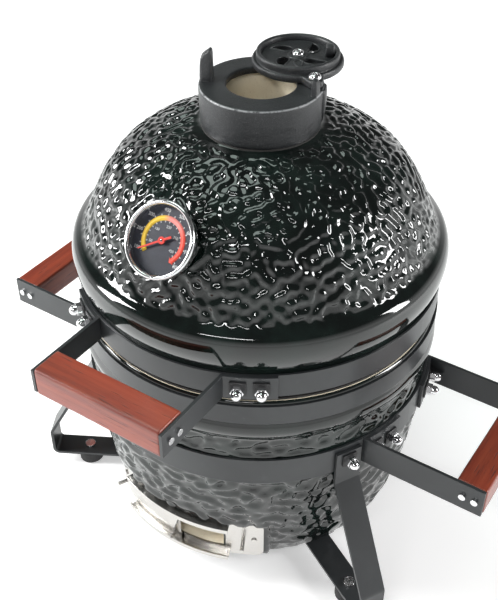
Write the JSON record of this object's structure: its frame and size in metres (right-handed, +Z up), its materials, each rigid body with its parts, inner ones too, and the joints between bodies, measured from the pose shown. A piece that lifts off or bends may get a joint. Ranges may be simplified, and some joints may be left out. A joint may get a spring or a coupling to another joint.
{
  "type": "kamado grill",
  "caption": "Small ceramic kamado grill with a hinged lid, swing-away top vent, dial thermometer, sliding draft door, wooden handles and a low three-leg stand",
  "frame": {"origin": "on the ground under the vertical axis of the ceramic body", "axes": "+Z up, the thermometer, front handle and draft door face -Y, the lid hinge is at +Y, the side handles are at -X and +X"},
  "size_m": [0.536, 0.462, 0.49],
  "materials": {
    "glaze": "gloss glaze with a raised worm relief",
    "felt": "felt",
    "band_paint": "satin dark grey",
    "wood": "oiled reddish hardwood",
    "bright_screws": "polished",
    "black_washer": "black",
    "rubber": "matt",
    "bezel_steel": "polished",
    "dial_face": "satin blue-black with coloured scale",
    "dial_glass": "clear",
    "needle_red": "satin red",
    "cast_iron": "sand-cast, seasoned",
    "draft_steel": "bright satin",
    "grate_steel": "satin",
    "inner_ceramic": "unglazed, sandy"
  },
  "bodies": {
    "base": {"base_body": "glaze", "base_gasket": "felt", "base_band": "band_paint", "stand_band": "band_paint", "leg_front_right": "band_paint", "leg_front_left": "band_paint", "leg_rear": "band_paint", "right_handle_arm_front": "band_paint", "right_handle_arm_rear": "band_paint", "left_handle_arm_front": "band_paint", "left_handle_arm_rear": "band_paint", "hinge_lower_bracket": "band_paint", "right_handle_grip": "wood", "left_handle_grip": "wood", "side_handle_screws": "bright_screws", "stand_nuts": "bright_screws", "stand_bolts": "bright_screws", "hinge_lower_bolts": "bright_screws", "hinge_lower_nuts": "bright_screws", "foot_bolts": "bright_screws", "hinge_pin": "bright_screws", "hinge_pin_clips": "bright_screws", "stand_washers": "black_washer", "rubber_feet": "rubber", "charcoal_grate": "cast_iron", "draft_frame": "draft_steel", "draft_pins": "draft_steel", "draft_screws": "draft_steel", "cooking_grate": "grate_steel", "firebox": "inner_ceramic", "fire_ring": "inner_ceramic"},
    "lid": {"lid_dome": "glaze", "lid_gasket": "felt", "lid_band": "band_paint", "front_handle_arm_left": "band_paint", "front_handle_arm_right": "band_paint", "front_handle_grip": "wood", "front_handle_screws": "bright_screws", "front_handle_bolts": "bright_screws", "front_handle_washers": "black_washer", "front_handle_nuts": "bright_screws", "thermometer_case": "bezel_steel", "thermometer_dial": "dial_face", "thermometer_glass": "dial_glass", "thermometer_stem": "bright_screws", "thermometer_nut": "bright_screws", "vent_gasket": "felt", "vent_collar": "cast_iron", "vent_pivot_screw": "bright_screws", "hinge_upper_bracket": "band_paint", "hinge_upper_bolts": "bright_screws", "hinge_upper_nuts": "bright_screws"},
    "vent_cap": {"vent_cap": "cast_iron", "daisy_screw": "bright_screws"},
    "daisy_wheel": {"daisy_wheel": "cast_iron"},
    "draft_door": {"draft_door": "draft_steel"},
    "thermometer_needle": {"thermometer_needle": "needle_red"}
  },
  "joints": [
    {"name": "lid_hinge", "type": "hinge", "parent": "base", "child": "lid", "pos_m": [0, 0.19, 0.2625], "axis": [-1, 0, 0], "range_deg": [0, 80]},
    {"name": "vent_swing", "type": "hinge", "parent": "lid", "child": "vent_cap", "pos_m": [0.03968, 0.01783, 0.47], "axis": [0, 0, 1], "range_deg": [-60, 64.9]},
    {"name": "daisy_turn", "type": "hinge", "parent": "vent_cap", "child": "daisy_wheel", "pos_m": [0.0067, 0.0462, 0.47], "axis": [0, 0, 1], "range_deg": [0, 45]},
    {"name": "draft_slide", "type": "hinge", "parent": "base", "child": "draft_door", "pos_m": [0, 0, 0.06], "axis": [0, 0, 1], "range_deg": [0, 18.5]},
    {"name": "needle_turn", "type": "hinge", "parent": "lid", "child": "thermometer_needle", "pos_m": [0, -0.14046, 0.38751], "axis": [0, 0.7923, -0.6101], "range_deg": [0, 215]}
  ]
}
